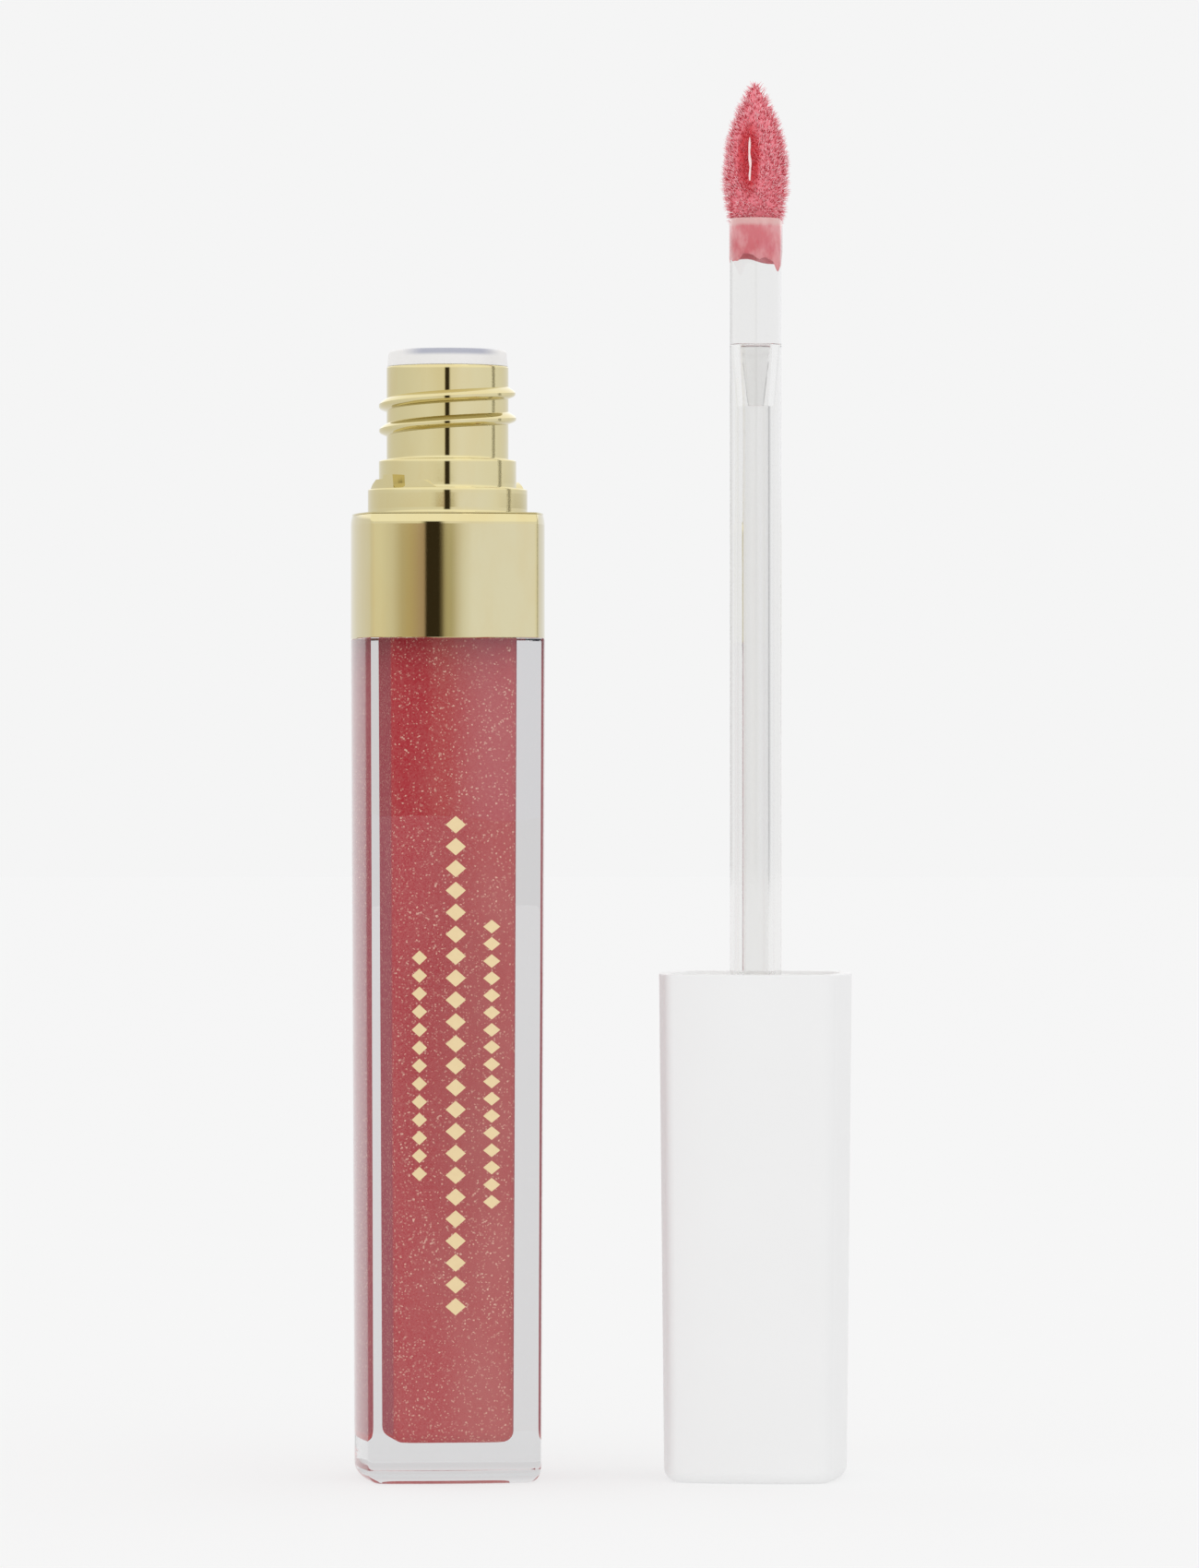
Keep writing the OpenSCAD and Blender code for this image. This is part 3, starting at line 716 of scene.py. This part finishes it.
# Stem: a clear tube whose bore opens at the top for the plug's tapered tail; the blade stands in the flock
stem = {"boreR": 1.025, "mouthR": 1.335, "tail": 4.9, "floor": 2, "edge": 0.025, "haze": 0.03,
        "tint": (0.92, 0.918, 0.912), "ior": 1.47}
plug = {"tailR": 1.235, "tailEndR": 0.615, "bladeR": 1.1, "bladeThick": 0.45, "haze": 0.02}
stemR = (stemHigh.x - stemLow.x) / 2


def clearLook(name, haze):
    look = Look(name)
    spot = look.place()
    drawn = look.noise(look.stretched(spot, (3.0, 3.0, 0.15)), 1.0, 2.0)
    shader = look.principled(Base_Color=stem["tint"], Roughness=haze + drawn * haze * 0.6, IOR=stem["ior"],
                             Transmission_Weight=1.0, Normal=look.bump(drawn, 0.12, 0.00003))
    return look.surface(look.lampsPass(shader, stem["tint"]))


def makeStem():
    bm = bmesh.new()
    low, top, bore = stemLow.z, stemHigh.z, stem["boreR"]
    corners = [(0, low), (stemR, low), (stemR, top), (stem["mouthR"], top), (bore, top - stem["tail"]),
               (bore, low + stem["floor"]), (0, low + stem["floor"])]
    lathe(bm, rounded(corners, stem["edge"], 2))
    finish = clearLook("clearStem", stem["haze"])
    piece("stem_tube", bm, atApplicator, "stem_body", finish, ["stem"])


def makePlug():
    bm = bmesh.new()
    foot, shoulder, top, end = plugLow.z, plugLow.z + stem["tail"], tipLow.z, plugHigh.z
    bladeR = plug["bladeR"]
    corners = [(0, foot), (plug["tailEndR"], foot), (plug["tailR"], shoulder), (stemR, shoulder),
               (stemR, top), (1.5, top + 0.05), (bladeR, top + 1.2), (bladeR, end - 0.8), (0.5, end - 0.1),
               (0, end)]
    lathe(bm, rounded(corners, stem["edge"], 2))
    # the part above the shoulder is flattened to a blade
    blade = [vert for vert in bm.verts if vert.co.z > top + 1]
    bmesh.ops.scale(bm, vec=(1, plug["bladeThick"] / bladeR, 1), verts=blade)
    finish = clearLook("clearPlug", plug["haze"])
    piece("tip_plug", bm, atApplicator, "cap_body", finish, ["tip_core"])


# Tip: a leaf-shaped bed covered in fibres, with a pocket in its front where the gloss gathers
# glow is painted light, standing in for light passing through the fibres
tip = {"width": 5.35, "thick": 3.6, "widestBelowTop": 7.6, "swell": 0.8, "flock": 0.42, "fibres": 5200,
       "fibreR": 0.042, "fibreLength": (1.1, 1.75), "lean": 0.5, "stray": 0.3, "pocketX": -0.35,
       "pocketZ": 5.0, "pocketHalf": 2.9, "pocketDeep": 0.5, "soakX": -0.45, "soakHalf": 3.1,
       "bed": (0.72, 0.16, 0.2), "paleBed": (0.85, 0.28, 0.33), "soakedBed": (0.66, 0.03, 0.045),
       # the root colours paint shade at the fibres' roots, and the end colour paints a highlight at their
       # ends
       "root": (0.6, 0.05, 0.08), "paleRoot": (0.8, 0.15, 0.2), "fibre": (0.82, 0.2, 0.26),
       "paleFibre": (1.0, 0.56, 0.6), "litFibreEnd": (1.0, 0.84, 0.85), "soakedFibre": (0.74, 0.06, 0.09),
       "glow": 0.09}


def tipPoint(down, angle, inset):
    # a place on the leaf, so far down from its tip and round its axis, with the leaf smaller by the inset
    widest = tip["widestBelowTop"] - inset
    half = sin(pi * (1 - 0.5 * down / widest)) ** tip["swell"]
    x = (tip["width"] / 2 - inset) * half * cos(angle)
    y = (tip["thick"] / 2 - inset) * half * sin(angle)
    z = tipHigh.z - inset - down
    if y < 0:
        across = x - tip["pocketX"]
        along = (z - tipLow.z - tip["pocketZ"]) / tip["pocketHalf"]
        y += tip["pocketDeep"] * max(0, 1 - across ** 2 - along ** 2) ** 1.5
    return Vector((x, y, z))


def pocketShade(look):
    # 1 in the pocket, 0 away from it, found in the applicator's own directions
    x, y, z = look.split(look.place())
    dx, dy = x - applicatorX, y - applicatorY
    turn = 2 * aside
    right, back = dx * cos(turn) + dy * sin(turn), dy * cos(turn) - dx * sin(turn)
    across = right - tip["soakX"]
    along = (z - tipLow.z - tip["pocketZ"]) / tip["soakHalf"]
    return look.smooth(across * across + along * along, 1.3, 0.3) * look.smooth(back, 0.2, -0.4)


def makeTip():
    bm = bmesh.new()
    rings, sides, first = 36, 48, 0.03
    inset = tip["flock"]
    bottom = tipHigh.z - tipLow.z - inset - 0.02
    downs = [first + (bottom - first) * (i / rings) ** 1.5 for i in range(rings + 1)]
    skin(bm, [loop(bm, [tipPoint(down, 2 * pi * j / sides, inset) for j in range(sides)]) for down in downs])
    look = Look("flockBed")
    patch = look.noise(look.place(), 2.5, 3.0)
    bed = look.mix(patch, tip["bed"], tip["paleBed"])
    soaked = look.mix(pocketShade(look) * 0.9, bed, tip["soakedBed"])
    # painted light: the bed glows faintly, standing in for light through the flock
    finish = look.surface(look.principled(
        Base_Color=soaked, Roughness=0.35 + patch * 0.3, Emission_Color=soaked, Emission_Strength=tip["glow"],
        Normal=look.bump(patch, 0.5, 0.0001)))
    piece("flock_bed", bm, atApplicator, "cap_body", finish, ["flocked_tip"], sharp=60)


def makeFibres():
    # made in parts, since each new cone takes longer in a big mesh
    random = Random(7)
    whole = bmesh.new()
    whole.verts.layers.float.new("along")
    whole.verts.layers.float.new("tone")
    inset = tip["flock"]
    top, bottom = 0.04, tipHigh.z - tipLow.z - inset - 0.05
    perPart = 130
    for _ in range(ceil(tip["fibres"] / perPart)):
        bm = bmesh.new()
        along = bm.verts.layers.float.new("along")
        tone = bm.verts.layers.float.new("tone")
        for _ in range(perPart):
            down = top + (bottom - top) * random.random()
            angle = random.uniform(0, 2 * pi)
            half = sin(pi * (1 - 0.5 * down / tip["widestBelowTop"]))
            if random.random() > 0.12 + 0.88 * half:  # fewer where the leaf is narrow
                continue
            root = tipPoint(down, angle, inset)
            beside = tipPoint(down, angle + 0.05, inset)
            above = tipPoint(down - 0.03, angle, inset)
            out = (beside - root).cross(above - root).normalized()
            jitter = Vector([random.gauss(0, tip["stray"]) for _ in range(3)])
            rise = tip["lean"] * min(1, (bottom - down) / 2.5)
            heading = (out + Vector((0, 0, rise)) + jitter).normalized()
            length = tip["flock"] * random.uniform(*tip["fibreLength"])
            middle = root + heading * (length / 2 - 0.05)
            shape = Matrix.Translation(middle) @ heading.to_track_quat("Z", "Y").to_matrix().to_4x4()
            made = bmesh.ops.create_cone(bm, cap_ends=True, cap_tris=False, segments=3,
                                         radius1=tip["fibreR"], radius2=tip["fibreR"] * 0.3, depth=length,
                                         matrix=shape)
            shade = random.random()
            for vert in made["verts"]:
                vert[along] = max(0, (vert.co - root).dot(heading) / length)
                vert[tone] = shade
        mesh = bpy.data.meshes.new("fibrePart")
        bm.to_mesh(mesh)
        bm.free()
        whole.from_mesh(mesh)
        bpy.data.meshes.remove(mesh)
    look = Look("flockFibre")
    reach = look.node("Attribute", {"attribute_name": "along"}, {}, output="Fac")
    shade = look.node("Attribute", {"attribute_name": "tone"}, {}, output="Fac")
    root = look.mix(shade, tip["root"], tip["paleRoot"])
    body = look.mix(shade, tip["fibre"], tip["paleFibre"])
    # painted shade: each fibre darker at its root, down among the others
    colour = look.mix(look.smooth(reach, 0.1, 0.6), root, body)
    # painted highlight: each fibre paler towards its end
    litEnds = look.mix(look.smooth(reach, 0.55, 1.0) * 0.75, colour, tip["litFibreEnd"])
    wet = look.mix(pocketShade(look) * 0.8, litEnds, tip["soakedFibre"])
    # painted light: the fibres glow faintly, standing in for light through them
    finish = look.surface(look.principled(
        Base_Color=wet, Roughness=0.4 + shade * 0.2, Specular_IOR_Level=0.35, Emission_Color=wet,
        Emission_Strength=tip["glow"]))
    piece("flock_fibres", whole, atApplicator, "cap_body", finish, sharp=180)


# Bead: wet gloss along the crease of the pocket, near white as a painted highlight, from a height above the
# tip's foot and so long
bead = {"from": 3.2, "long": 3.45, "half": 0.105, "flat": 0.6, "proud": 0.44, "colour": (0.95, 0.84, 0.83),
        "pinker": (0.9, 0.62, 0.6), "roughness": 0.12}


def makeBead():
    bm = bmesh.new()
    loops = []
    rings, sides = 14, 10
    for i in range(rings + 1):
        share = i / rings
        up = bead["from"] + bead["long"] * share
        thick = bead["half"] * sin(pi * (0.08 + 0.84 * share)) ** 0.5 * (1 + 0.25 * sin(17 * share))
        x = tip["pocketX"] + 0.02 + 0.07 * sin(5 * share + 1) * share - 0.02 * sin(13 * share)
        base = tipPoint(tipHigh.z - tipLow.z - tip["flock"] - up, 1.5 * pi, tip["flock"])
        centre = Vector((x, base.y - bead["proud"], tipLow.z + up))
        loops.append(loop(bm, [centre + Vector((thick * cos(a), bead["flat"] * thick * sin(a), 0))
                               for a in [2 * pi * j / sides for j in range(sides)]]))
    skin(bm, loops)
    look = Look("wetGlossHighlight")
    spot = look.place()
    run = look.noise(look.stretched(spot, (1.0, 1.0, 0.4)), 2.0, 2.0)
    # painted highlight: the near-white colour stands in for the wet gloss's reflection
    finish = look.surface(look.principled(
        Base_Color=look.mix(run, bead["colour"], bead["pinker"]), Roughness=bead["roughness"],
        Coat_Weight=1.0))
    piece("pocket_gloss_highlight", bm, atApplicator, "cap_body", finish, sharp=60)


# Film: gloss left on the plug below the flock, with a ragged lower edge and a run at the right
film = {"thick": 0.07, "deep": (0.74, 0.15, 0.18), "thin": (0.86, 0.36, 0.38), "lip": (0.88, 0.58, 0.55),
        "roughness": 0.18, "ior": 1.45, "through": 0.25, "coat": 0.6, "coatRoughness": 0.05}


def makeFilm():
    bm = bmesh.new()
    sides, root, top = 96, stemR - 0.02, filmHigh.z
    inner, outerLow, outerMid, outerTop, innerTop = [], [], [], [], []
    for j in range(sides):
        a = 2 * pi * j / sides
        ragged = 0.25 * sin(3 * a + 0.5) + 0.16 * sin(7 * a + 2) + 0.06 * sin(15 * a)
        low = filmLow.z + 0.45 + ragged - 0.75 * max(0, cos(a + 0.35)) ** 24
        thick = film["thick"] + 0.03 * sin(5 * a) + 0.12 * max(0, cos(a + 0.45)) ** 30
        for points, r, z in [(inner, root, low), (outerLow, stemR + thick * 0.2, low + 0.04),
                             (outerMid, stemR + thick, low + 0.4), (outerTop, stemR + thick, top + 0.1),
                             (innerTop, root, top + 0.3)]:
            points.append((r * cos(a), r * sin(a), z))
    loops = [loop(bm, points) for points in (inner, outerLow, outerMid, outerTop, innerTop)]
    skin(bm, loops + [loops[0]], closeStart=False, closeEnd=False)
    look = Look("glossFilm")
    spot = look.place()
    run = look.noise(look.stretched(spot, (0.9, 0.9, 0.5)), 1.1, 3.0)
    tint = look.mix(look.smooth(run, 0.35, 0.7), film["deep"], film["thin"])
    z = look.split(spot)[2]
    lip = look.smooth(z + run * 0.3, top - 0.3, top + 0.1) * 0.7
    finish = look.surface(look.principled(
        Base_Color=look.mix(lip, tint, film["lip"]), Roughness=film["roughness"], IOR=film["ior"],
        Transmission_Weight=film["through"], Coat_Weight=film["coat"], Coat_Roughness=film["coatRoughness"]))
    piece("gloss_smear", bm, atApplicator, "cap_body", finish, ["gloss_film"], sharp=60)


for make in (makeBottle, makeGloss, makeCollar, makeWiper, makeFoil, makeCap, makeLiner, makeStem, makePlug,
             makeTip, makeFibres, makeBead, makeFilm):
    make()

print("pieces done")
